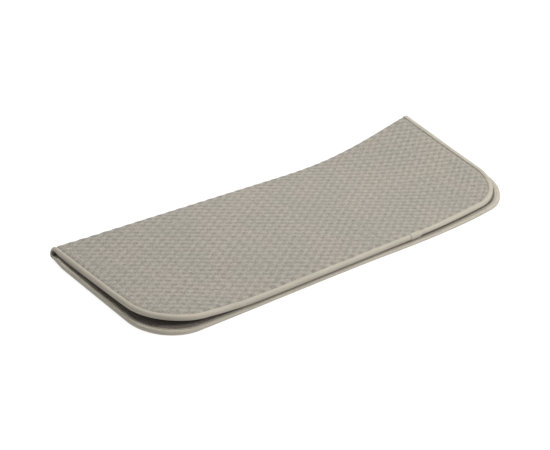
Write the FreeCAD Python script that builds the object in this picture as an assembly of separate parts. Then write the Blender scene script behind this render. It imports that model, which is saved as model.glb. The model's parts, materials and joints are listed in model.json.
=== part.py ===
import FreeCAD, Part

import math
import os

# A thin padded pad with a bound edge, folded in half along its length and lying flat, with its
# right end curled up towards the back corner. Millimetres. +X runs along the fold from the left
# end to the right end, +Y points from the open front edge to the fold, and +Z points up. The
# origin is on the resting plane, under the middle of the pad's box.
#
# Every layer is modelled flat first. Then each solid is bent about the curl lines and divided at
# the first of them, so that the curled end is a body of its own.

Vector = FreeCAD.Vector

# Layers, from the outer face to the lining.
outer_fabric_thickness = 0.9
padding_thickness = 2.6
lining_thickness = 0.7
sheet_thickness = outer_fabric_thickness + padding_thickness + lining_thickness

# Edge tape, folded round the edge of the sheet. It reaches further in on the outer face than on the
# lining.
tape_wall = 0.65
tape_width = 4.4
tape_lining_width = 2.4
edge_thickness = sheet_thickness + 2 * tape_wall
gap_between_halves = 0.3

# The fold: both halves are tangent to a half-round about this line.
fold_height = edge_thickness + gap_between_halves / 2
fold_inner_radius = gap_between_halves / 2 + tape_wall
fold_outer_radius = fold_inner_radius + sheet_thickness

# Plan sizes. Depths run from the fold's centre line to the free front edge.
fold_length = 510.0
left_end = -254.2
right_end = left_end + fold_length
fold_y = 84.5
lower_depth = 174.3
upper_depth = 172.6
lower_left_radius = 47.0
lower_right_radius = 41.0
upper_left_radius = 54.0
upper_right_radius = 52.0
upper_left_inset = 3.4
upper_right_inset = 3.0

# Binding seam: a thread this far from the edge, sunk into the tape on the outer face and into the
# lining beside the tape on the other.
seam_inset = 3.4
seam_width = 0.5
seam_depth = 0.35

# Where the two ends of the tape overlap, along X on the upper half's front edge.
lap_centre = 86.0
lap_length = 16.0
lap_thickness = 0.5

# Tack stitches through the upper half's outer fabric: distance along X, and in front of the fold.
tack_places = ((216.9, 20.3), (221.3, 143.1), (170.6, 8.4))
tack_radius = 0.8
tack_height = 0.25

# The curl. Its hinge line lies on the resting plane, turned this far from the Y direction.
curl_turn = 28.9
curl_angle = 12.3
curl_hinge = Vector(left_end + 355.0, fold_y - 76.0, 0.0)
curl_starts = -39.0
curl_ends = 203.0
facet_width = 33.0
facet_count = 5

# Longer than the pad in every direction, for cutting tools.
far = 900.0

across_curl = Vector(math.cos(math.radians(curl_turn)), math.sin(math.radians(curl_turn)), 0)
along_curl = Vector(-math.sin(math.radians(curl_turn)), math.cos(math.radians(curl_turn)), 0)
up = Vector(0, 0, 1)


def rounded_corner(before, corner, after, radius):
    """The arc of that radius that joins the edge before a corner to the edge after it."""
    back = (before - corner).normalize()
    onward = (after - corner).normalize()
    half_angle = back.getAngle(onward) / 2
    reach = radius / math.tan(half_angle)
    middle_way = (back + onward).normalize()
    centre = corner + middle_way * (radius / math.sin(half_angle))
    return Part.Arc(corner + back * reach, centre - middle_way * radius, corner + onward * reach)


def half_outline(depth, radii, left_inset, right_inset, inset):
    """The plan of one half as a face: straight along the fold, with its two free corners rounded.

    The radii are the left and the right corner's, and the free sides stand in by inset."""
    front = fold_y - depth + inset
    lean_left = left_inset / depth
    lean_right = right_inset / depth
    back_left = Vector(left_end + inset, fold_y, 0)
    back_right = Vector(right_end - inset, fold_y, 0)
    front_left = Vector(back_left.x + lean_left * (fold_y - front), front, 0)
    front_right = Vector(back_right.x - lean_right * (fold_y - front), front, 0)
    left_arc = rounded_corner(back_left, front_left, front_right, radii[0] - inset)
    right_arc = rounded_corner(front_left, front_right, back_right, radii[1] - inset)
    left_edge = left_arc.toShape()
    right_edge = right_arc.toShape()
    left_start, left_stop = left_edge.Vertexes[0].Point, left_edge.Vertexes[-1].Point
    right_start, right_stop = right_edge.Vertexes[0].Point, right_edge.Vertexes[-1].Point
    edges = [
        Part.makeLine(back_left, left_start),
        left_edge,
        Part.makeLine(left_stop, right_start),
        right_edge,
        Part.makeLine(right_stop, back_right),
        Part.makeLine(back_right, back_left),
    ]
    return Part.Face(Part.Wire(edges))


def slab(face, bottom, top):
    """A plan face made solid between two heights."""
    moved = face.copy()
    moved.translate(Vector(0, 0, bottom))
    return moved.extrude(Vector(0, 0, top - bottom))


def ring(plan, outer_inset, width, bottom, top):
    """A closed band that follows the free edges, width wide, between two heights."""
    return slab(plan(outer_inset), bottom, top).cut(slab(plan(outer_inset + width), bottom, top))


def layer_heights(is_upper):
    """Each layer's lowest and highest point in one half, with the lining on the inside."""
    thicknesses = (
        ("outer_fabric", outer_fabric_thickness),
        ("padding", padding_thickness),
        ("lining", lining_thickness),
    )
    heights = {}
    depth_in = tape_wall
    for name, thickness in thicknesses:
        heights[name] = (depth_in, depth_in + thickness)
        depth_in += thickness
    if is_upper:
        total = 2 * fold_height
        heights = {name: (total - high, total - low) for name, (low, high) in heights.items()}
    return heights


def half(prefix, is_upper):
    """One half of the pad, laid flat: three layers, the tape round them and its sewn seam."""
    depth = upper_depth if is_upper else lower_depth
    radii = (lower_left_radius, lower_right_radius)
    if is_upper:
        radii = (upper_left_radius, upper_right_radius)
    left_inset = upper_left_inset if is_upper else 0.0
    right_inset = upper_right_inset if is_upper else 0.0

    def plan(inset):
        return half_outline(depth, radii, left_inset, right_inset, inset)

    pieces = {}
    sheet_plan = plan(tape_wall)
    for name, (low, high) in layer_heights(is_upper).items():
        pieces[f"{prefix}_{name}"] = slab(sheet_plan, low, high)

    bottom = 2 * fold_height - edge_thickness if is_upper else 0.0
    top = bottom + edge_thickness
    wall_bottom = bottom if is_upper else top - tape_wall
    tape = slab(plan(0.0), bottom, top)
    tape = tape.cut(slab(sheet_plan, bottom + tape_wall, top - tape_wall))
    tape = tape.cut(slab(plan(tape_width), bottom, top))
    tape = tape.cut(slab(plan(tape_lining_width), wall_bottom, wall_bottom + tape_wall))
    outer_bottom = top - seam_depth if is_upper else bottom
    lining_bottom = wall_bottom + tape_wall if is_upper else wall_bottom - seam_depth
    outer_seam = ring(plan, seam_inset, seam_width, outer_bottom, outer_bottom + seam_depth)
    lining_seam = ring(plan, seam_inset, seam_width, lining_bottom, lining_bottom + seam_depth)
    pieces[f"{prefix}_lining"] = pieces[f"{prefix}_lining"].cut(lining_seam)
    pieces[f"{prefix}_edge_tape"] = tape.cut(outer_seam)
    pieces[f"{prefix}_tape_seam"] = Part.makeCompound([outer_seam, lining_seam])
    return pieces


def fold_band(inner, outer, start, stop):
    """A half-round band about the fold's centre line, from start to stop along X."""
    place = Vector(start, fold_y, fold_height)
    along = Vector(1, 0, 0)
    band = Part.makeCylinder(outer, stop - start, place, along, 360)
    band = band.cut(Part.makeCylinder(inner, stop - start, place, along, 360))
    behind_fold = Part.makeBox(far, far, far, Vector(-far / 2, fold_y, -far / 2))
    return band.common(behind_fold)


def fold():
    """The strip that bends round between the halves, with the tape's loop and seam at each end."""
    start = left_end + tape_wall
    stop = right_end - tape_wall
    lining_radius = fold_inner_radius + lining_thickness
    padding_radius = lining_radius + padding_thickness
    pieces = {
        "fold_lining": fold_band(fold_inner_radius, lining_radius, start, stop),
        "fold_padding": fold_band(lining_radius, padding_radius, start, stop),
        "fold_outer_fabric": fold_band(padding_radius, fold_outer_radius, start, stop),
    }
    sheet = fold_band(fold_inner_radius, fold_outer_radius, start, stop)
    tape_inner = fold_inner_radius - tape_wall
    tape_outer = fold_outer_radius + tape_wall
    loops = []
    seams = []
    for edge, inward in ((left_end, 1), (right_end, -1)):
        loop_ends = sorted((edge, edge + inward * tape_width))
        lining_side = sorted((edge + inward * tape_lining_width, edge + inward * tape_width))
        seam_ends = sorted((edge + inward * seam_inset, edge + inward * (seam_inset + seam_width)))
        seam = fold_band(tape_outer - seam_depth, tape_outer, *seam_ends)
        loop = fold_band(tape_inner, tape_outer, *loop_ends).cut(sheet).cut(seam)
        loops.append(loop.cut(fold_band(tape_inner, fold_inner_radius, *lining_side)))
        seams.append(seam)
    pieces["fold_edge_tape"] = Part.makeCompound(loops)
    pieces["fold_tape_seam"] = Part.makeCompound(seams)
    return pieces


def tape_lap(upper_tape):
    """The doubled end of the tape, over the top and the front of the upper half's edge."""
    bottom = 2 * fold_height - edge_thickness
    front = fold_y - upper_depth
    start = lap_centre - lap_length / 2
    cover = Part.makeBox(
        lap_length,
        tape_width + lap_thickness,
        edge_thickness + lap_thickness,
        Vector(start, front - lap_thickness, bottom),
    )
    inside = Part.makeBox(lap_length, tape_width, edge_thickness, Vector(start, front, bottom))
    return cover.cut(inside).cut(upper_tape)


def tacks():
    """Short thread tacks that stand in the upper half's outer fabric."""
    top = 2 * fold_height - tape_wall
    pins = []
    for along, in_front in tack_places:
        foot = Vector(along, fold_y - in_front, top - outer_fabric_thickness)
        pins.append(Part.makeCylinder(tack_radius, outer_fabric_thickness + tack_height, foot))
    return Part.makeCompound(pins)


def curl_height(distance):
    """How far the underside is lifted at a distance past the curl's hinge line."""
    share = (distance - curl_starts) / (curl_ends - curl_starts)
    eased = share * share * (3 - 2 * share)
    return distance * math.sin(math.radians(curl_angle * eased))


def bend_lines():
    """(distance past the hinge line, bend in degrees) of each line where the flat pad is bent."""
    lines = []
    last_slope = 0.0
    for number in range(facet_count):
        near = number * facet_width
        rise = curl_height(near + facet_width) - curl_height(near)
        slope = math.degrees(math.atan2(rise, facet_width))
        lines.append((near, slope - last_slope))
        last_slope = slope
    return lines


def half_space(distance, lean, ahead):
    """Everything ahead of, or behind, a plane through a bend line that leans by lean degrees."""
    box = Part.makeBox(far, 2 * far, 2 * far, Vector(0 if ahead else -far, -far, -far))
    box.rotate(Vector(0, 0, 0), Vector(0, 1, 0), lean)
    box.rotate(Vector(0, 0, 0), up, curl_turn)
    box.translate(curl_hinge + across_curl * distance)
    return box


def joined(pieces):
    """Pieces that meet face to face, as one shape."""
    solids = [solid for piece in pieces for solid in piece.Solids]
    if len(solids) < 2:
        return Part.makeCompound(solids)
    return solids[0].multiFuse(solids[1:]).removeSplitter()


def curled(flat):
    """A flat solid bent along the curl lines: the part before the first line, and the rest."""
    before = flat
    bent = []
    placement = FreeCAD.Placement()
    for distance, bend in bend_lines():
        piece = before.common(half_space(distance, -bend / 2, False))
        piece.Placement = placement.multiply(piece.Placement)
        bent.append(piece)
        before = before.common(half_space(distance, bend / 2, True))
        turn = FreeCAD.Rotation(along_curl, -bend)
        line = curl_hinge + across_curl * distance
        placement = placement.multiply(FreeCAD.Placement(line - turn.multVec(line), turn))
    before.Placement = placement.multiply(before.Placement)
    bent.append(before)
    return joined(bent[:1]), joined(bent[1:])


def flat_pieces():
    """Every piece of the folded pad before its end is curled, by name."""
    pieces = half("lower", False)
    pieces.update(half("upper", True))
    pieces.update(fold())
    pieces["upper_tape_lap"] = tape_lap(pieces["upper_edge_tape"])
    pins = tacks()
    pieces["upper_outer_fabric"] = pieces["upper_outer_fabric"].cut(pins)
    pieces["upper_tack_stitches"] = pins
    return pieces


def main():
    os.makedirs("parts", exist_ok=True)
    for name, flat in flat_pieces().items():
        straight_part, curled_part = curled(flat)
        for node, shape in ((name, straight_part), (f"{name}_curled", curled_part)):
            if shape.Volume > 0.5:
                shape.exportStep(f"parts/{node}.step")
                box = shape.BoundBox
                print(
                    f"{node}: {len(shape.Solids)} solid, {shape.Volume:.0f} mm3, valid {shape.isValid()},"
                    f" x {box.XMin:.1f} to {box.XMax:.1f}, y {box.YMin:.1f} to {box.YMax:.1f},"
                    f" z {box.ZMin:.2f} to {box.ZMax:.2f}"
                )


main()
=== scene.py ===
import json
import math

import bmesh
import bpy
import numpy as np
from mathutils import Matrix, Vector


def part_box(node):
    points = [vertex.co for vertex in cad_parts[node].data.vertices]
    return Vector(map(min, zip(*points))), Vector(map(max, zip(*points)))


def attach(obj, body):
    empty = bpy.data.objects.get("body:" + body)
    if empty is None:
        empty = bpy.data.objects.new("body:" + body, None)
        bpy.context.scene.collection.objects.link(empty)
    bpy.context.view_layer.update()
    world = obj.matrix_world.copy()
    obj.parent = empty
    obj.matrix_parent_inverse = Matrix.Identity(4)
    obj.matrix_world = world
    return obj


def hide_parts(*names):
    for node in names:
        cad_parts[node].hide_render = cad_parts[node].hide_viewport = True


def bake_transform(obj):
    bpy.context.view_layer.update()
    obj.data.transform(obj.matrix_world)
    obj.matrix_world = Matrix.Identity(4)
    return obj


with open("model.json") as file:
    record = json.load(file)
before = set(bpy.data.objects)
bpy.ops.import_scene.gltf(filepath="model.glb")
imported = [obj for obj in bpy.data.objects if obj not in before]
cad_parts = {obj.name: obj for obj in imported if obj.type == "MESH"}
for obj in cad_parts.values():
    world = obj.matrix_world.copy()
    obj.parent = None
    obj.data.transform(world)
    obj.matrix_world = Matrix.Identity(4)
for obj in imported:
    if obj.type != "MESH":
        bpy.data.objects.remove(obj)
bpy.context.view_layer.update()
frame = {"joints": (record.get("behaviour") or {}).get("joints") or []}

mm = 0.001

# ---------------------------------------------------------------------------------------------
# Driving dimensions, in metres, from the frame where it has them. The pad is made flat and
# folded, and then its end is raised by the curl.

joints = {joint["name"]: joint for joint in frame["joints"]}

left_end, lower_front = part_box("lower_edge_tape")[0][:2]
fold_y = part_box("lower_edge_tape")[1].y
upper_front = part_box("upper_edge_tape")[0].y
edge_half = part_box("lower_edge_tape")[1].z / 2
fold_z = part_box("upper_edge_tape")[1].z / 2
fold_radius = fold_z - edge_half
fold_length = 510 * mm
right_end = left_end + fold_length

# Heights above the middle of the sheet, towards its outer face. The padding keeps a hair's breadth
# clear of the cloths.
fabric_top, fabric_bottom = 2.1 * mm, 1.2 * mm
lining_top, lining_bottom = -1.4 * mm, -2.1 * mm
layer_gap = 0.06 * mm
padding_top, padding_bottom = fabric_bottom - layer_gap, lining_top + layer_gap

# How far in from the sheet's edge each layer ends, inside the tape.
fabric_inset, padding_inset, lining_inset = 2.2 * mm, 2.4 * mm, 2.0 * mm

# The outer fabric's hidden side has one grid point for this many of its face.
fabric_coarse = 4

# The plan of each half: where its front edge is, its left and right corner radii, and how far its two
# sides have come in at the front.
halves = {
    "lower": {
        "side": -1,
        "front": lower_front,
        "radii": (47 * mm, 41 * mm),
        "left_in": 0.0,
        "right_in": 0.0,
    },
    "upper": {
        "side": 1,
        "front": upper_front,
        "radii": (54 * mm, 52 * mm),
        "left_in": 3.4 * mm,
        "right_in": 3.0 * mm,
    },
}

# The fold turns through half a circle: each half carries an eighth of a turn, the strip the rest.
# The rows of its grids are spaced for this radius, about that of its outer face.
share_of_fold = math.radians(45)
fold_grid_radius = 5 * mm

# The tape round the edge: its width on the outer face and on the lining, and the spacing of the
# stations that it is swept along.
tape_outer_width = 4.4 * mm
tape_inner_width = 5.4 * mm
edge_step = 2.4 * mm

# Its stitching: a line on each side of it, this far in from the edge, and at these heights.
stitch_inset = 3.65 * mm
stitch_outer_height, stitch_inner_height = 2.0 * mm, -2.3 * mm
stitch_pitch, stitch_length = 3.2 * mm, 2.5 * mm
thread_radius, tack_radius = 0.24 * mm, 0.55 * mm

# Beyond the overlap of its ends the tape grows wider, by this share at the right end.
lap_x = (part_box("upper_tape_lap")[0].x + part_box("upper_tape_lap")[1].x) / 2
right_widening, widening_reach = 0.3, 100 * mm

# On the upper half's front edge its lining side is fuller up to the overlap, and flatter beyond.
fuller_share, flatter_share, flatter_reach = 0.1, 0.5, 9 * mm

# The stitching draws the outer face down. It swells again from there, and then the knit's pattern
# begins to show.
draw_depth, swell_height = 1.05 * mm, 1.35 * mm
swell_starts, swell_reach = 3.9 * mm, 4.2 * mm
knit_starts, knit_reach = 4 * mm, 4 * mm

# The lining dips under the tape and puffs out beyond it. Along the left side it puffs out more, and
# comes over the tape until only a narrow edge shows.
dip_depth, dip_reach = 1.3 * mm, 1.8 * mm
puff, left_puff = 0.45 * mm, 0.45 * mm
left_tape_shown = 1.0 * mm
over_tape_starts, over_tape_reach = 30 * mm, 60 * mm

# The raised pattern of the knit: a staggered lattice of bumps.
bump_along, bump_across = 13.4 * mm, 8.26 * mm
bump_height = 0.25 * mm

# Its ridges: two crossing slanted sets and a third straight across the fold. Each set has its weight,
# how many waves it makes per bump along and across, and its phase.
knit_ridges = ((0.54, 1, 1, 0.0), (0.72, 1, -1, 0.0), (0.33, 1, 0, 0.6))

# The upper half's front left corner stands off the lower half.
corner_lift, lift_reach, lift_power = 8.0 * mm, 116 * mm, 1.4

# Next to the fold the two halves part a little, and leave a narrow hollow along it. It is taller at
# the left end, where the fold swells.
hollow_reach, hollow_share = 11 * mm, 0.5
end_hollow_share, end_swell, end_reach = 0.85, 0.04, 45 * mm

# The lower half's left end stands out from under the upper's, most of all a little before the fold.
left_spread, spread_reach, spread_fade = 5.0 * mm, 150 * mm, 25 * mm

# The front edges sink by their own weight, and bow a little: the lower half's stands out right of the
# middle, and the upper half's stands back at both ends.
sink_reach, upper_sink, lower_squeeze = 22 * mm, 0.8 * mm, 0.41
lower_bow, lower_bow_x, lower_bow_sharpness = 2.4 * mm, 105 * mm, 1.6
upper_bow_left, upper_bow_right = 1.3 * mm, 3.2 * mm
bow_reach = 100 * mm

# The curl, from its joint. The turn grows from nothing to the joint's limit between the two distances.
curl_joint = joints["curl_lower"]
curl_hinge = np.array(curl_joint["pos_m"])
curl_along = np.array(curl_joint["axis"])
curl_across = np.array([curl_along[1], -curl_along[0], 0.0])
curl_angle = math.radians(curl_joint["range_deg"][1])
curl_starts, curl_ends = -39 * mm, 203 * mm
up = np.array([0.0, 0.0, 1.0])


def eased(t):
    """Smoothly from 0 to 1 as t goes from 0 to 1."""
    t = np.clip(t, 0, 1)
    return t * t * (3 - 2 * t)


# ---------------------------------------------------------------------------------------------
# From the flat folded pad to the pad at rest.


def at_left_end(x):
    """1 at the pad's left end, falling to 0 a little way in."""
    return eased(1 - (x - left_end) / end_reach)


def curled(points):
    """Each point turned about the curl's hinge line, by its share of the curl's angle."""
    beyond = (points - curl_hinge) @ curl_across
    sideways = (points - curl_hinge) @ curl_along
    height = points[..., 2]
    rest = beyond.copy()
    for _ in range(30):
        turn = curl_angle * eased((rest - curl_starts) / (curl_ends - curl_starts))
        rest = beyond * np.cos(turn) - height * np.sin(turn)
    raised = beyond * np.sin(turn) + height * np.cos(turn)
    return (
        curl_hinge
        + rest[..., None] * curl_across
        + sideways[..., None] * curl_along
        + raised[..., None] * up
    )


def settled(points, half_name):
    """Flat points of one half, or of the fold, at rest: the lifted corner and the curl are added."""
    points = np.array(points, float)
    x, y, z = points[..., 0].copy(), points[..., 1].copy(), points[..., 2].copy()
    forward = np.clip((fold_y - y) / (fold_y - lower_front), 0, 1)
    leftward = eased(1 - (x - left_end) / lift_reach)
    by_front = eased(1 - (y - lower_front) / sink_reach) * (1 - leftward)

    round_fold = np.arctan2(z - fold_z, np.maximum(y - fold_y, 0))
    underneath = (1 - np.sin(round_fold)) / 2
    spread = left_spread * underneath * (1 - forward) * (1 - eased(1 + (y - fold_y) / spread_fade) / 2)
    points[..., 0] -= spread * eased(1 - (x - left_end) / spread_reach)

    by_fold = eased(1 - (fold_y - y) / (2 * end_reach))
    points[..., 2] *= 1 + end_swell * by_fold * at_left_end(x)
    if half_name == "upper":
        points[..., 2] += corner_lift * forward**lift_power * leftward - upper_sink * by_front
        upper_bow = np.where(x > 0, upper_bow_right, upper_bow_left)
        points[..., 1] += upper_bow * forward**2 * eased((np.abs(x) - bow_reach) / bow_reach)
    if half_name == "lower":
        points[..., 2] *= 1 - lower_squeeze * by_front
        bow = np.exp(-(((x - lower_bow_x) / bow_reach) ** 2) * lower_bow_sharpness)
        points[..., 1] -= lower_bow * forward**2 * bow
    return curled(points)


# ---------------------------------------------------------------------------------------------
# Mesh helpers.


def add_object(name, points, faces, cloth=None):
    """A smooth mesh object. cloth gives each point's place on the flat cloth, for its material."""
    mesh = bpy.data.meshes.new(name)
    mesh.from_pydata(np.asarray(points, float).reshape(-1, 3).tolist(), [], faces)
    mesh.validate()
    if cloth is not None:
        corners = np.empty(len(mesh.loops), np.int32)
        mesh.loops.foreach_get("vertex_index", corners)
        layer = mesh.uv_layers.new(name="cloth")
        layer.data.foreach_set("uv", np.asarray(cloth, np.float32).reshape(-1, 2)[corners].ravel())
    mesh.polygons.foreach_set("use_smooth", np.ones(len(mesh.polygons), bool))
    obj = bpy.data.objects.new(name, mesh)
    bpy.context.scene.collection.objects.link(obj)
    return obj


def closed_shell(top, bottom, cloth_top, cloth_bottom, coarse=1):
    """A shell between two grids. The bottom grid has one point for every coarse points of the top."""
    rows, columns = top.shape[:2]
    low_rows, low_columns = bottom.shape[:2]
    offset = rows * columns
    points = np.concatenate([top.reshape(-1, 3), bottom.reshape(-1, 3)])
    cloth = np.concatenate([cloth_top.reshape(-1, 2), cloth_bottom.reshape(-1, 2)])
    high = np.arange(offset).reshape(rows, columns)
    low = offset + np.arange(low_rows * low_columns).reshape(low_rows, low_columns)
    faces = []
    corners = [high[:-1, :-1], high[:-1, 1:], high[1:, 1:], high[1:, :-1]]
    faces += np.stack([c.ravel() for c in corners], -1).tolist()
    corners = [low[:-1, :-1], low[1:, :-1], low[1:, 1:], low[:-1, 1:]]
    faces += np.stack([c.ravel() for c in corners], -1).tolist()
    borders = [
        (high[0, ::-1], low[0, ::-1]),
        (high[-1, :], low[-1, :]),
        (high[:, 0], low[:, 0]),
        (high[::-1, -1], low[::-1, -1]),
    ]
    for edge, low_edge in borders:
        for number in range(len(low_edge) - 1):
            run = edge[number * coarse : (number + 1) * coarse + 1].tolist()
            faces.append(run + [int(low_edge[number + 1]), int(low_edge[number])])
    return points, faces, cloth


def steps_between(length, step, multiple=1):
    """About how many steps fit a length, as a multiple of a whole number."""
    return max(1, round(length / step / multiple)) * multiple


# ---------------------------------------------------------------------------------------------
# The plan of a half.


def side_x(half, y, is_right):
    """X of a half's left or right side at y, as if it had no rounded corner."""
    share = (fold_y - y) / (fold_y - half["front"])
    if is_right:
        return right_end - half["right_in"] * share
    return left_end + half["left_in"] * share


def corner_circle(half, is_right):
    """Centre and radius of a half's rounded corner."""
    radius = half["radii"][is_right]
    y = half["front"] + radius
    return side_x(half, y, is_right) + (-1 if is_right else 1) * radius, y, radius


def row_limits(half, y, inset):
    """Lowest and highest X of a half at y, inset from its edge."""
    limits = []
    for is_right in (False, True):
        inward = -1 if is_right else 1
        centre_x, centre_y, radius = corner_circle(half, is_right)
        straight = side_x(half, y, is_right) + inward * inset
        down = np.clip(centre_y - y, 0, radius - inset)
        rounded = centre_x - inward * np.sqrt((radius - inset) ** 2 - down**2)
        limits.append(np.where(y < centre_y, rounded, straight))
    return limits


def distance_inside(half, x, y):
    """Distance from a point on the plan to the nearest free edge."""
    from_sides = np.minimum(x - side_x(half, y, False), side_x(half, y, True) - x)
    inside = np.minimum(y - half["front"], from_sides)
    for is_right in (False, True):
        centre_x, centre_y, radius = corner_circle(half, is_right)
        past = (x > centre_x) if is_right else (x < centre_x)
        rounded = radius - np.hypot(x - centre_x, y - centre_y)
        inside = np.where(past & (y < centre_y), rounded, inside)
    return inside


def widening(x):
    """How many times as wide the tape is at x."""
    return 1 + right_widening * eased((x - lap_x) / widening_reach)


# ---------------------------------------------------------------------------------------------
# Layers: outer fabric, padding and lining of each half and of the fold strip.


def knit_height(x, across):
    """The knit's raised pattern at a place on the cloth, not quite even."""
    x = x + 0.5 * mm * np.sin(across / (19 * mm) + 1.9 * np.sin(x / (47 * mm)))
    across = across + 0.35 * mm * np.sin(x / (23 * mm) + 1.4 * np.cos(across / (31 * mm)))
    u, v = 2 * np.pi * x / bump_along, 2 * np.pi * across / bump_across
    swing = x / (5.3 * mm) + 2 * np.sin(across / (13 * mm))
    uneven = 1 + 0.3 * np.sin(swing) * np.cos(across / (3.7 * mm))
    ridges = sum(weight * np.cos(a * u + b * v + phase) for weight, a, b, phase in knit_ridges)
    return bump_height * ridges * uneven


def hollow(x, beyond_fold):
    """By what share the sheet's inner side is thinner, beside the fold and round it."""
    share = hollow_share + (end_hollow_share - hollow_share) * at_left_end(x)
    return share * eased(1 + beyond_fold / hollow_reach)


def strip_place(x, beyond, angle, side, height):
    """A point of the sheet. beyond is its distance past the fold's tangent line, 0 or less, and angle
    how far it has gone round the fold from there."""
    radius = fold_radius + height
    y = fold_y + beyond + radius * np.sin(angle)
    z = fold_z + side * radius * np.cos(angle)
    return np.stack(np.broadcast_arrays(x, y, z), -1)


def half_rows(half, inset, step, multiple):
    """The rows of a half's grid, from its front edge to its share of the fold: how far each is beyond
    the fold's tangent line, and how far round the fold."""
    flat_count = steps_between(fold_y - half["front"], step, multiple)
    round_count = steps_between(share_of_fold * fold_grid_radius, step, multiple)
    spread = np.linspace(0, 1, flat_count + 1)
    beyond = (half["front"] + inset - fold_y) * (1 - spread)
    angle = np.linspace(0, share_of_fold, round_count + 1)[1:]
    return (
        np.concatenate([beyond, np.zeros(round_count)])[:, None],
        np.concatenate([np.zeros(flat_count + 1), angle])[:, None],
    )


def half_grid(half, inset, step_along, step_across, multiple=1):
    """x, beyond, angle and distance from the edge, over a grid of a half's sheet."""
    beyond, angle = half_rows(half, inset, step_across, multiple)
    low, high = row_limits(half, fold_y + beyond, inset)
    count = steps_between(fold_length, step_along, multiple)
    x = low + (high - low) * np.linspace(0, 1, count + 1)[None, :]
    inside = distance_inside(half, x, fold_y + beyond + 0 * x)
    return x, beyond, angle, inside


def strip_grid(inset, step_along, step_round, multiple=1):
    """x and angle from the middle of the fold, over a grid of the fold strip's sheet."""
    reach = math.pi / 2 - share_of_fold
    count = steps_between(fold_length, step_along, multiple)
    round_count = steps_between(2 * reach * fold_grid_radius, step_round, multiple)
    x = np.linspace(left_end + inset, right_end - inset, count + 1)[None, :]
    angle = np.linspace(-reach, reach, round_count + 1)[:, None]
    return x, angle


def cloth_across(side, beyond, angle):
    """Distance along the outer face from the middle of the fold, upwards and over."""
    return side * ((math.pi / 2 - angle) * (fold_radius + fabric_top) - beyond)


def half_surface(half, grid, height):
    """Points of a half's sheet at rest, and their places on the cloth."""
    x, beyond, angle, _ = grid
    name = "upper" if half["side"] > 0 else "lower"
    points = settled(strip_place(x, beyond, angle, half["side"], height), name)
    across = cloth_across(half["side"], beyond, angle)
    return points, np.stack(np.broadcast_arrays(x, across), -1)


def strip_surface(grid, height):
    """Points of the fold strip at rest, and their places on the cloth."""
    x, angle = grid
    radius = fold_radius + height
    points = np.stack(
        np.broadcast_arrays(x, fold_y + radius * np.cos(angle), fold_z + radius * np.sin(angle)), -1
    )
    across = angle * (fold_radius + fabric_top)
    return settled(points, "fold"), np.stack(np.broadcast_arrays(x, across), -1)


def edge_dip(inside):
    """The sheet's outer face is drawn down to the stitching at the tape, and swells past it."""
    return swell_height * eased((inside - swell_starts) / swell_reach) - draw_depth


def fabric_height(x, across, inside):
    """Height of the outer face: the swell of the padding and the knit's pattern on it."""
    inside = inside / widening(x)
    knit = knit_height(x, across) * eased((inside - knit_starts) / knit_reach)
    return fabric_top + edge_dip(inside) + knit


def half_shell(name, half, top, cloth, bottom, low_cloth, coarse=1):
    """A half's layer between two grids. The lower half's grids are turned round, so that its faces
    point outwards too."""
    if half["side"] < 0:
        top, cloth, bottom, low_cloth = (a[:, ::-1] for a in (top, cloth, bottom, low_cloth))
    return add_object(name, *closed_shell(top, bottom, cloth, low_cloth, coarse))


def outer_fabric(name, half):
    grid = half_grid(half, fabric_inset, step_along=1.6 * mm, step_across=1.15 * mm, multiple=fabric_coarse)
    x, beyond, angle, inside = grid
    across = cloth_across(half["side"], beyond, angle)
    top, cloth = half_surface(half, grid, fabric_height(x, across, inside))
    step = fabric_coarse
    low_grid = [a[::step, ::step] if a.shape[1] > 1 else a[::step] for a in grid]
    bottom, low_cloth = half_surface(half, low_grid, fabric_bottom)
    return half_shell(name, half, top, cloth, bottom, low_cloth, fabric_coarse)


def strip_fabric(name):
    grid = strip_grid(fabric_inset, step_along=1.6 * mm, step_round=0.9 * mm, multiple=fabric_coarse)
    x, angle = grid
    inside = np.minimum(x - left_end, right_end - x)
    across = angle * (fold_radius + fabric_top)
    top, cloth = strip_surface(grid, fabric_height(x, across, inside))
    low_grid = (x[:, ::fabric_coarse], angle[::fabric_coarse])
    bottom, low_cloth = strip_surface(low_grid, fabric_bottom)
    return add_object(name, *closed_shell(top, bottom, cloth, low_cloth, fabric_coarse))


def padding(name, half):
    grid = half_grid(half, padding_inset, step_along=5 * mm, step_across=3.5 * mm)
    x, beyond = grid[:2]
    top, cloth = half_surface(half, grid, padding_top)
    bottom, low_cloth = half_surface(half, grid, padding_bottom * (1 - hollow(x, beyond)))
    return half_shell(name, half, top, cloth, bottom, low_cloth)


def strip_padding(name):
    grid = strip_grid(padding_inset, step_along=5 * mm, step_round=1.5 * mm)
    top, cloth = strip_surface(grid, padding_top)
    bottom, low_cloth = strip_surface(grid, padding_bottom * (1 - hollow(grid[0], 0.0)))
    return add_object(name, *closed_shell(top, bottom, cloth, low_cloth))


def lining_ripple(x, across):
    """Slight unevenness of the brushed lining."""
    waves = (
        np.sin(x / (7.1 * mm) + 1.7 * np.sin(across / (11 * mm)))
        * np.cos(across / (5.3 * mm) + 1.3 * np.sin(x / (17 * mm)))
    )
    return 0.09 * mm * waves


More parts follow.
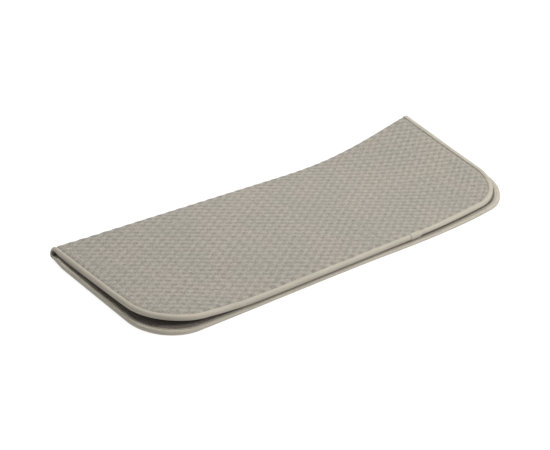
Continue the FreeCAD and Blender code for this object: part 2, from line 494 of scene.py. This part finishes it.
def lining(name, half):
    grid = half_grid(half, lining_inset, step_along=2.4 * mm, step_across=1.8 * mm)
    x, beyond, angle, inside = grid
    across = cloth_across(half["side"], beyond, angle)
    draw_back = 1 - hollow(x, beyond)
    leftward = eased(1 - (x - left_end) / lift_reach)
    from_front = fold_y + beyond - half["front"]
    over_tape = leftward * eased((from_front - over_tape_starts) / over_tape_reach)
    dip_ends = tape_inner_width - (tape_inner_width - left_tape_shown) * over_tape
    dip = dip_depth * (1 - eased((inside - dip_ends * widening(x)) / dip_reach))
    swelling = dip - puff - left_puff * leftward
    seen = (lining_bottom + lining_ripple(x, across) + swelling) * draw_back
    top, cloth = half_surface(half, grid, lining_top * draw_back)
    bottom, low_cloth = half_surface(half, grid, seen)
    return half_shell(name, half, top, cloth, bottom, low_cloth)


def strip_lining(name):
    grid = strip_grid(lining_inset, step_along=2.4 * mm, step_round=1.0 * mm)
    draw_back = 1 - hollow(grid[0], 0.0)
    top, cloth = strip_surface(grid, lining_top * draw_back)
    bottom, low_cloth = strip_surface(grid, lining_bottom * draw_back)
    return add_object(name, *closed_shell(top, bottom, cloth, low_cloth))


# ---------------------------------------------------------------------------------------------
# The edge of the sheet, as a path with frames: points in the middle of the sheet's edge, the
# direction into the sheet, and the direction out of its outer face.


def edge_path(half):
    """The free edge of a half, from its share of the fold at the left end to that at the right."""
    side = half["side"]
    stations = []

    def round_fold(x, inward_x, angles):
        for angle in angles:
            place = strip_place(x, 0.0, angle, side, 0.0)
            normal = (0.0, math.sin(angle), side * math.cos(angle))
            stations.append((place, (inward_x, 0.0, 0.0), normal))

    def flat(x, y, inward):
        stations.append(((x, y, fold_z + side * fold_radius), (*inward, 0.0), (0.0, 0.0, float(side))))

    def straight(start, end):
        count = steps_between(abs(end - start), edge_step)
        return np.linspace(start, end, count, endpoint=False)

    def along_side(is_right, start_y, end_y):
        for y in straight(start_y, end_y):
            flat(side_x(half, y, is_right), y, (-1.0 if is_right else 1.0, 0.0))

    def corner(circle, start_turn):
        centre_x, centre_y, radius = circle
        count = steps_between(radius * math.pi / 2, edge_step)
        for turn in np.linspace(start_turn, start_turn + math.pi / 2, count, endpoint=False):
            out_x, out_y = math.cos(turn), math.sin(turn)
            flat(centre_x + radius * out_x, centre_y + radius * out_y, (-out_x, -out_y))

    round_count = 6
    left, right = corner_circle(half, False), corner_circle(half, True)
    round_fold(left_end, 1.0, np.linspace(share_of_fold, 0, round_count, endpoint=False))
    along_side(False, fold_y, left[1])
    corner(left, math.pi)
    for x in straight(left[0], right[0]):
        flat(x, half["front"], (0.0, 1.0))
    corner(right, -math.pi / 2)
    along_side(True, right[1], fold_y)
    round_fold(right_end, -1.0, np.linspace(0, share_of_fold, round_count + 1))
    return [np.array(part, float) for part in zip(*stations)]


def strip_path(is_right):
    """The edge of the fold strip at one end, from its lower side to its upper."""
    x = right_end if is_right else left_end
    inward = (-1.0, 0.0, 0.0) if is_right else (1.0, 0.0, 0.0)
    reach = math.pi / 2 - share_of_fold
    stations = []
    for angle in np.linspace(-reach, reach, 13):
        out = (0.0, math.cos(angle), math.sin(angle))
        place = (x, fold_y + fold_radius * out[1], fold_z + fold_radius * out[2])
        stations.append((place, inward, out))
    return [np.array(part, float) for part in zip(*stations)]


def run_lengths(places):
    """Distance along a line of places, at each of them."""
    return np.concatenate([[0], np.cumsum(np.linalg.norm(np.diff(places, axis=0), axis=1))])


def tape_section():
    """The tape's section round the edge: (inset, height) points, from its outer edge on the outer face,
    round the sheet's edge to the lining, and back along its inside."""
    crown, crown_inset = 2.85 * mm, 3.0 * mm
    belly, belly_inset = 2.7 * mm, 1.5 * mm
    edge_height = 1.95 * mm
    groove_depth, groove_reach = 0.3 * mm, 0.35 * mm
    outside = []
    for inset in np.linspace(tape_outer_width, crown_inset, 9):
        share = (inset - crown_inset) / (tape_outer_width - crown_inset)
        groove = groove_depth * math.exp(-(((inset - stitch_inset) / groove_reach) ** 2))
        outside.append((inset, crown - (crown - edge_height) * share**2 - groove))
    for turn in np.linspace(math.pi / 2, -math.pi / 2, 17)[1:-1]:
        reach, height = (crown_inset, crown) if turn > 0 else (belly_inset, belly)
        outside.append((reach * (1 - math.cos(turn)), height * math.sin(turn)))
    outside += [
        (2.0 * mm, -2.65 * mm),
        (2.9 * mm, -2.55 * mm),
        (stitch_inset, -2.3 * mm),
        (4.4 * mm, -2.5 * mm),
        (5.1 * mm, -2.3 * mm),
        (tape_inner_width, -1.5 * mm),
    ]
    inside = [
        (tape_inner_width, -1.1 * mm),
        (3.4 * mm, -1.7 * mm),
        (1.7 * mm, -1.9 * mm),
        (0.8 * mm, -1.2 * mm),
        (0.62 * mm, 0.0),
        (0.8 * mm, 1.2 * mm),
        (2.0 * mm, 2.05 * mm),
        (3.3 * mm, 1.6 * mm),
        (tape_outer_width, 1.25 * mm),
    ]
    return np.array(outside + inside)


def sweep(path, section, half_name, thin_inside):
    """A closed tube of a section along a path. thin_inside gives, at each station, the share by which
    the section's lining side is flattened."""
    places, inwards, normals = path
    count, around = len(places), len(section)
    insets = section[:, 0][None, :, None] * widening(places[:, 0])[:, None, None]
    heights = np.repeat(section[:, 1][None, :], count, 0)
    heights = np.where(heights < 0, heights * (1 - thin_inside[:, None]), heights)
    points = places[:, None] + inwards[:, None] * insets + normals[:, None] * heights[..., None]
    lengths = run_lengths(places)
    girth = np.concatenate([[0], np.cumsum(np.linalg.norm(np.diff(section, axis=0), axis=1))])
    cloth = np.stack(np.broadcast_arrays(lengths[:, None], girth[None, :]), -1)
    index = np.arange(count * around).reshape(count, around)
    ahead = np.roll(index, -1, axis=1)
    faces = np.stack([index[:-1], index[1:], ahead[1:], ahead[:-1]], -1).reshape(-1, 4).tolist()
    faces.append(index[0].tolist())
    faces.append(index[-1, ::-1].tolist())
    return settled(points, half_name).reshape(-1, 3), faces, cloth


def outward(obj):
    """Turns every face of a closed mesh outwards."""
    work = bmesh.new()
    work.from_mesh(obj.data)
    bmesh.ops.recalc_face_normals(work, faces=work.faces)
    work.to_mesh(obj.data)
    work.free()
    return obj


def thinned(path, half_name):
    """By what share the tape's lining side is flatter: it is by the hollow at the fold. On the upper
    half's front edge it is fuller up to the overlap of the tape's ends, and flatter beyond."""
    places = path[0]
    share = hollow(places[:, 0], np.minimum(places[:, 1] - fold_y, 0))
    if half_name == "upper":
        by_front = eased(1 - (places[:, 1] - upper_front) / sink_reach)
        leftward = eased(1 - (places[:, 0] - left_end) / lift_reach)
        beyond_lap = eased((places[:, 0] - lap_x) / flatter_reach)
        share += by_front * (flatter_share * beyond_lap - fuller_share * (1 - leftward))
    return share


def edge_tape(name, half_name):
    path = edge_path(halves[half_name])
    return outward(add_object(name, *sweep(path, tape_section(), half_name, thinned(path, half_name))))


def strip_tape(name, is_right):
    path = strip_path(is_right)
    thin = hollow(path[0][:, 0], 0.0)
    return outward(add_object(name, *sweep(path, tape_section(), "fold", thin)))


def tape_lap(name):
    """The tape's end, folded under and laid over its beginning on the upper half's front edge."""
    count = 15
    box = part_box("upper_tape_lap")
    places = np.empty((count, 3))
    places[:, 0] = np.linspace(box[0].x, box[1].x, count)
    places[:, 1:] = upper_front, fold_z + fold_radius
    path = [places, np.tile([0.0, 1.0, 0.0], (count, 1)), np.tile([0.0, 0.0, 1.0], (count, 1))]
    section = tape_section()
    grown_by = np.array([0.5 * mm, 0.8 * mm])
    middle = np.array([2.4 * mm, 0.0])
    away = section - middle
    away /= np.linalg.norm(away, axis=1)[:, None]
    return outward(add_object(name, *sweep(path, section + away * grown_by, "upper", np.zeros(count))))


# ---------------------------------------------------------------------------------------------
# Thread: short stitches along the tape, and the tacks.


def stitch_mesh(starts, ends, normals, radius):
    """Short bars of thread from starts to ends, rounded at their ends and sunk in there."""
    sides = 6
    shares = np.array([0.0, 0.16, 0.5, 0.84, 1.0])
    sizes = np.array([0.35, 0.95, 1.0, 0.95, 0.35])
    sunk = np.array([-0.9, -0.1, 0.25, -0.1, -0.9])
    along = ends - starts
    along_unit = along / np.linalg.norm(along, axis=1)[:, None]
    across = np.cross(normals, along_unit)
    turns = np.arange(sides) * 2 * np.pi / sides
    points = (
        starts[:, None, None]
        + along[:, None, None] * shares[None, :, None, None]
        + normals[:, None, None] * (radius * sunk)[None, :, None, None]
        + (across[:, None, None] * np.cos(turns)[None, None, :, None]
           + normals[:, None, None] * np.sin(turns)[None, None, :, None])
        * (radius * sizes)[None, :, None, None]
    )
    per_stitch = len(shares) * sides
    ring = np.arange(per_stitch).reshape(len(shares), sides)
    ahead = np.roll(ring, -1, axis=1)
    walls = np.stack([ring[:-1], ahead[:-1], ahead[1:], ring[1:]], -1).reshape(-1, 4)
    offsets = np.arange(len(starts)) * per_stitch
    faces = (walls[None] + offsets[:, None, None]).reshape(-1, 4).tolist()
    faces += (ring[0][::-1][None] + offsets[:, None]).tolist()
    faces += (ring[-1][None] + offsets[:, None]).tolist()
    return points.reshape(-1, 3), faces


def stitches(name, half_name, path, thin):
    """A line of stitches through the tape, on its outer side and on its lining side."""
    lengths = run_lengths(path[0])
    count = int(lengths[-1] / stitch_pitch)
    margin = (lengths[-1] - count * stitch_pitch) / 2 + (stitch_pitch - stitch_length) / 2
    begin = margin + np.arange(count) * stitch_pitch

    def at(run, height):
        values = [np.stack([np.interp(run, lengths, part[:, k]) for k in range(3)], -1) for part in path]
        place, inward, normal = values
        normal /= np.linalg.norm(normal, axis=1)[:, None]
        share = np.interp(run, lengths, thin)
        height = np.where(height < 0, height * (1 - share), height)
        inset = stitch_inset * widening(place[:, 0])
        return place + inward * inset[:, None] + normal * height[:, None], normal

    bars = []
    for height in (stitch_outer_height, stitch_inner_height):
        level = np.full(count, height)
        starts, out = at(begin, level)
        ends, _ = at(begin + stitch_length, level)
        bars.append((starts, ends, out * math.copysign(1, height)))
    starts, ends, out = (np.concatenate(parts) for parts in zip(*bars))
    points, faces = stitch_mesh(starts, ends, out, thread_radius)
    return outward(add_object(name, settled(points, half_name), faces))


def tacks(name):
    """Three small tacks of dark thread in the upper half's outer fabric. Each spot says how far right
    of the middle and before the fold it is, in millimetres, and its turn in degrees."""
    half = halves["upper"]
    half_length = 1.1 * mm
    spots = ((216.9, 20.3, 35), (221.3, 143.1, -20), (170.6, 8.4, 70))
    starts, ends = [], []
    for right_of_middle, before_fold, turn in spots:
        x, y = right_of_middle * mm, fold_y - before_fold * mm
        across = cloth_across(1, y - fold_y, 0.0)
        height = fabric_height(x, across, distance_inside(half, x, y))
        z = fold_z + fold_radius + float(height)
        reach_x = half_length * math.cos(math.radians(turn))
        reach_y = half_length * math.sin(math.radians(turn))
        starts.append((x - reach_x, y - reach_y, z))
        ends.append((x + reach_x, y + reach_y, z))
    out = np.tile([0.0, 0.0, 1.0], (len(spots), 1))
    points, faces = stitch_mesh(np.array(starts), np.array(ends), out, tack_radius)
    return outward(add_object(name, settled(points, "upper"), faces))


# ---------------------------------------------------------------------------------------------
# Materials. Each takes its place on the cloth from the mesh's own map, in metres.


class Nodes:
    """A material's node tree, with short ways to add nodes and join them."""

    def __init__(self, name):
        self.material = bpy.data.materials.new(name)
        self.material.use_nodes = True
        self.tree = self.material.node_tree
        self.shader = self.tree.nodes["Principled BSDF"]

    def add(self, kind, **settings):
        node = self.tree.nodes.new(kind)
        for key, value in settings.items():
            setattr(node, key, value)
        return node

    def link(self, source, target):
        self.tree.links.new(source, target)

    def cloth(self, scale):
        """The place on the cloth times a scale for each direction."""
        place = self.add("ShaderNodeUVMap", uv_map="cloth")
        mapping = self.add("ShaderNodeMapping")
        mapping.inputs["Scale"].default_value = (scale[0], scale[1], 1.0)
        self.link(place.outputs["UV"], mapping.inputs["Vector"])
        return mapping.outputs["Vector"]

    def noise(self, vector, scale, detail=2.0, roughness=0.5):
        node = self.add("ShaderNodeTexNoise", noise_dimensions="2D")
        node.inputs["Scale"].default_value = scale
        node.inputs["Detail"].default_value = detail
        node.inputs["Roughness"].default_value = roughness
        self.link(vector, node.inputs["Vector"])
        return node.outputs["Fac"]

    def math(self, operation, first, second=0.0, third=None):
        node = self.add("ShaderNodeMath", operation=operation)
        for number, value in enumerate((first, second, third)):
            if value is None:
                continue
            if isinstance(value, (int, float)):
                node.inputs[number].default_value = value
            else:
                self.link(value, node.inputs[number])
        return node.outputs[0]

    def mix(self, share, first, second):
        """A colour between two, each a colour or another node's colour."""
        node = self.add("ShaderNodeMix", data_type="RGBA")
        self.link(share, node.inputs["Factor"])
        for value, socket in ((first, node.inputs["A"]), (second, node.inputs["B"])):
            if isinstance(value, tuple):
                socket.default_value = (*value, 1.0)
            else:
                self.link(value, socket)
        return node.outputs["Result"]

    def spread(self, value, low, high):
        """A value stretched so that low gives 0 and high gives 1."""
        node = self.add("ShaderNodeMapRange", interpolation_type="SMOOTHSTEP")
        node.inputs["From Min"].default_value = low
        node.inputs["From Max"].default_value = high
        self.link(value, node.inputs["Value"])
        return node.outputs["Result"]

    def finish(self, colour, height, distance, roughness, sheen):
        bump = self.add("ShaderNodeBump")
        bump.inputs["Strength"].default_value = 1.0
        bump.inputs["Distance"].default_value = distance
        self.link(height, bump.inputs["Height"])
        self.link(bump.outputs["Normal"], self.shader.inputs["Normal"])
        self.link(colour, self.shader.inputs["Base Color"])
        self.shader.inputs["Roughness"].default_value = roughness
        self.shader.inputs["Specular IOR Level"].default_value = 0.2
        self.shader.inputs["Sheen Weight"].default_value = sheen
        self.shader.inputs["Sheen Roughness"].default_value = 0.6
        return self.material


def knit_material():
    """Warm grey knit: fine loops, with painted shade darkening the dimples of its raised pattern."""
    n = Nodes("outer_knit")
    metres = n.cloth((1.0, 1.0))
    separate = n.add("ShaderNodeSeparateXYZ")
    n.link(metres, separate.inputs[0])
    phase_x = n.math("MULTIPLY", separate.outputs[0], 2 * math.pi / bump_along)
    phase_y = n.math("MULTIPLY", separate.outputs[1], 2 * math.pi / bump_across)
    wander = n.noise(metres, 230.0, 3.0, 0.6)
    raised = n.math("MULTIPLY_ADD", wander, 3.6, -1.8)
    for weight, along, across, phase in knit_ridges:
        turn = n.math("MULTIPLY_ADD", phase_x, along, n.math("MULTIPLY_ADD", phase_y, across, phase))
        raised = n.math("MULTIPLY_ADD", n.math("COSINE", turn), weight, raised)
    # Share of the lighter colour: 0 in the dimples of the raised pattern, 1 on its crests. The darker
    # colour in the dimples is painted shade.
    crest = n.spread(raised, -1.6, 1.6)
    loop_length, loop_width = 1.3 * mm, 1.0 * mm
    loops_x = n.math("SINE", n.math("MULTIPLY", separate.outputs[0], 2 * math.pi / loop_length))
    loops_y = n.math("SINE", n.math("MULTIPLY", separate.outputs[1], 2 * math.pi / loop_width))
    loops = n.math("MULTIPLY", loops_x, loops_y)
    fuzz = n.noise(metres, 620.0, 4.0, 0.7)
    blotch = n.spread(n.noise(metres, 18.0, 3.0, 0.55), 0.3, 0.7)
    dimple_shaded_knit = n.mix(crest, (0.178, 0.170, 0.151), (0.356, 0.336, 0.296))
    speckle = n.mix(n.spread(fuzz, 0.38, 0.62), (0.135, 0.129, 0.114), (0.415, 0.393, 0.348))
    cloth = n.add("ShaderNodeMix", data_type="RGBA")
    cloth.inputs["Factor"].default_value = 0.44
    n.link(dimple_shaded_knit, cloth.inputs["A"])
    n.link(speckle, cloth.inputs["B"])
    tinted = n.add("ShaderNodeMix", data_type="RGBA", blend_type="MULTIPLY")
    tinted.inputs["Factor"].default_value = 1.0
    n.link(cloth.outputs["Result"], tinted.inputs["A"])
    n.link(n.mix(blotch, (0.955, 0.955, 0.918), (1.028, 0.983, 0.94)), tinted.inputs["B"])
    height = n.math("ADD", n.math("MULTIPLY", loops, 0.35), n.math("MULTIPLY", fuzz, 1.0))
    return n.finish(tinted.outputs["Result"], height, 0.25 * mm, 0.95, 0.15)


def lining_material():
    """Brushed brown-grey cloth with a short nap."""
    n = Nodes("brushed_lining")
    metres = n.cloth((1.0, 1.0))
    nap = n.noise(metres, 700.0, 5.0, 0.7)
    patches = n.spread(n.noise(n.cloth((1.0, 1.6)), 55.0, 3.0, 0.6), 0.3, 0.7)
    dark = n.mix(patches, (0.085, 0.071, 0.058), (0.110, 0.093, 0.077))
    light = n.mix(patches, (0.210, 0.180, 0.150), (0.260, 0.226, 0.190))
    colour = n.mix(n.spread(nap, 0.3, 0.7), dark, light)
    return n.finish(colour, nap, 0.5 * mm, 1.0, 0.3)


def tape_material():
    """Cream binding tape with fine crosswise ribs."""
    n = Nodes("binding_tape")
    metres = n.cloth((1.0, 1.0))
    separate = n.add("ShaderNodeSeparateXYZ")
    n.link(metres, separate.inputs[0])
    rib_spacing, weave_spacing = 0.9 * mm, 0.6 * mm
    ribs = n.math("SINE", n.math("MULTIPLY", separate.outputs[0], 2 * math.pi / rib_spacing))
    weave = n.math("SINE", n.math("MULTIPLY", separate.outputs[1], 2 * math.pi / weave_spacing))
    fibre = n.noise(metres, 900.0, 4.0, 0.6)
    patches = n.spread(n.noise(n.cloth((0.5, 1.0)), 70.0, 3.0, 0.6), 0.3, 0.7)
    worn = n.mix(patches, (0.420, 0.385, 0.318), (0.490, 0.452, 0.378))
    colour = n.mix(n.spread(fibre, 0.3, 0.75), (0.360, 0.327, 0.268), worn)
    pattern = n.math("ADD", n.math("MULTIPLY", n.math("MULTIPLY", ribs, weave), 0.3), fibre)
    return n.finish(colour, pattern, 0.16 * mm, 0.85, 0.1)


def batting_material():
    """Off-white batting."""
    n = Nodes("batting")
    fibres = n.noise(n.cloth((1.0, 3.0)), 400.0, 5.0, 0.75)
    colour = n.mix(n.spread(fibres, 0.3, 0.7), (0.62, 0.60, 0.54), (0.74, 0.72, 0.67))
    return n.finish(colour, fibres, 0.6 * mm, 1.0, 0.0)


def thread_material(name, dark, light):
    """Twisted sewing thread."""
    n = Nodes(name)
    place = n.add("ShaderNodeTexCoord")
    node = n.add("ShaderNodeTexNoise")
    node.inputs["Scale"].default_value = 1500.0
    node.inputs["Detail"].default_value = 3.0
    n.link(place.outputs["Object"], node.inputs["Vector"])
    twist = node.outputs["Fac"]
    return n.finish(n.mix(n.spread(twist, 0.35, 0.65), dark, light), twist, 0.1 * mm, 0.8, 0.0)


materials = {
    "outer_fabric": knit_material(),
    "lining": lining_material(),
    "edge_tape": tape_material(),
    "padding": batting_material(),
    "seam_thread": thread_material("seam_thread", (0.10, 0.085, 0.066), (0.19, 0.165, 0.13)),
    "tack_thread": thread_material("tack_thread", (0.05, 0.042, 0.036), (0.11, 0.095, 0.08)),
}


# ---------------------------------------------------------------------------------------------
# The pieces, in place of their CAD nodes; a few of them ride on a body.


def place_piece(obj, slot, nodes, rides_on=None):
    """Gives a piece its material, puts it on its body if it rides on one, and hides the CAD nodes that it
    stands for.
    """
    obj.data.materials.append(materials[slot])
    if rides_on:
        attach(obj, rides_on)
    else:
        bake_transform(obj)
    if nodes:
        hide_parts(*nodes)
    return obj


def both(node):
    """A node's name and that of its curled end."""
    return (node, f"{node}_curled")


# The two cloths run on round the fold, in strips of their own.
over_fold = {
    "outer_fabric": place_piece(
        strip_fabric("fold_outer_fabric_cloth"), "outer_fabric", both("fold_outer_fabric")
    ),
    "lining": place_piece(strip_lining("fold_lining_cloth"), "lining", both("fold_lining")),
}

for half_name, half in halves.items():
    core = padding(f"{half_name}_padding_core", half)
    place_piece(core, "padding", both(f"{half_name}_padding"))
    for make, part in ((outer_fabric, "outer_fabric"), (lining, "lining")):
        piece = make(f"{half_name}_{part}_cloth", half)
        place_piece(piece, part, both(f"{half_name}_{part}"))
    tape = edge_tape(f"{half_name}_binding", half_name)
    place_piece(tape, "edge_tape", both(f"{half_name}_edge_tape"))
    path = edge_path(half)
    seam = stitches(f"{half_name}_stitches", half_name, path, thinned(path, half_name))
    place_piece(seam, "seam_thread", both(f"{half_name}_tape_seam"))

core = place_piece(strip_padding("fold_padding_core"), "padding", both("fold_padding"))

for end, is_right in (("left", False), ("right", True)):
    node = "fold_edge_tape_curled" if is_right else "fold_edge_tape"
    seam_node = "fold_tape_seam_curled" if is_right else "fold_tape_seam"
    rides_on = None if is_right else "fold_strip"
    tape = strip_tape(f"fold_binding_{end}", is_right)
    place_piece(tape, "edge_tape", (node,), rides_on)
    path = strip_path(is_right)
    seam = stitches(f"fold_stitches_{end}", "fold", path, hollow(path[0][:, 0], 0.0))
    place_piece(seam, "seam_thread", (seam_node,), rides_on)

place_piece(tape_lap("upper_binding_lap"), "edge_tape", ("upper_tape_lap",), "upper_half")
place_piece(tacks("upper_tacks"), "tack_thread", ("upper_tack_stitches_curled",))


# ---------------------------------------------------------------------------------------------
# The floor, the light and the camera.


def floor():
    """A wide white floor, just below the pad, that gives off most of its own light."""
    reach, z = 6.0, -0.4 * mm
    mesh = bpy.data.meshes.new("floor")
    corners = [(-reach, -reach, z), (reach, -reach, z), (reach, reach, z), (-reach, reach, z)]
    mesh.from_pydata(corners, [], [(0, 1, 2, 3)])
    obj = bpy.data.objects.new("floor", mesh)
    bpy.context.scene.collection.objects.link(obj)
    material = bpy.data.materials.new("floor")
    material.use_nodes = True
    shader = material.node_tree.nodes["Principled BSDF"]
    shader.inputs["Base Color"].default_value = (0.14, 0.14, 0.14, 1)
    shader.inputs["Emission Color"].default_value = (1, 1, 1, 1)
    shader.inputs["Emission Strength"].default_value = 0.92
    shader.inputs["Roughness"].default_value = 0.9
    shader.inputs["Specular IOR Level"].default_value = 0.0
    obj.data.materials.append(material)


def area_light(name, place, target, size, power):
    """A square light that faces a target."""
    light = bpy.data.lights.new(name, "AREA")
    light.shape = "SQUARE"
    light.size = size
    light.energy = power
    obj = bpy.data.objects.new(name, light)
    obj.location = place
    obj.rotation_euler = (Vector(target) - Vector(place)).to_track_quat("-Z", "Y").to_euler()
    bpy.context.scene.collection.objects.link(obj)


def studio():
    """Even light all round, a large soft light overhead, one from the front right and a weak one at
    the left."""
    world = bpy.data.worlds.new("studio")
    world.use_nodes = True
    world.node_tree.nodes["Background"].inputs["Color"].default_value = (1, 1, 1, 1)
    world.node_tree.nodes["Background"].inputs["Strength"].default_value = 0.21
    bpy.context.scene.world = world
    bpy.context.scene.view_settings.view_transform = "Standard"
    area_light("overhead", (0.02, 0.12, 0.8), (0, 0, 0), size=0.8, power=7.4)
    area_light("key", (0.7, -0.95, 1.1), (0, 0, 0), size=0.6, power=16)
    area_light("fill", (-1.3, 0.15, 0.75), (-0.2, 0, 0), size=0.9, power=1.2)


def camera():
    """A long lens from the front left, looking down, slightly rolled."""
    place = (-0.7085, -0.6727, 0.5579)
    pitch, roll, yaw = math.radians(29.757), math.radians(6.982), math.radians(44.798)
    data = bpy.data.cameras.new("camera")
    data.sensor_width = 36.0
    data.lens = 68.34
    data.clip_start = 0.01
    ahead = Vector((math.sin(yaw) * math.cos(pitch), math.cos(yaw) * math.cos(pitch), -math.sin(pitch)))
    level = Vector((math.cos(yaw), -math.sin(yaw), 0))
    above = level.cross(ahead)
    right = math.cos(roll) * level + math.sin(roll) * above
    over = -math.sin(roll) * level + math.cos(roll) * above
    obj = bpy.data.objects.new("camera", data)
    turn = Matrix((right, over, -ahead)).transposed().to_4x4()
    obj.matrix_world = Matrix.Translation(place) @ turn
    bpy.context.scene.collection.objects.link(obj)
    bpy.context.scene.camera = obj


floor()
studio()
camera()
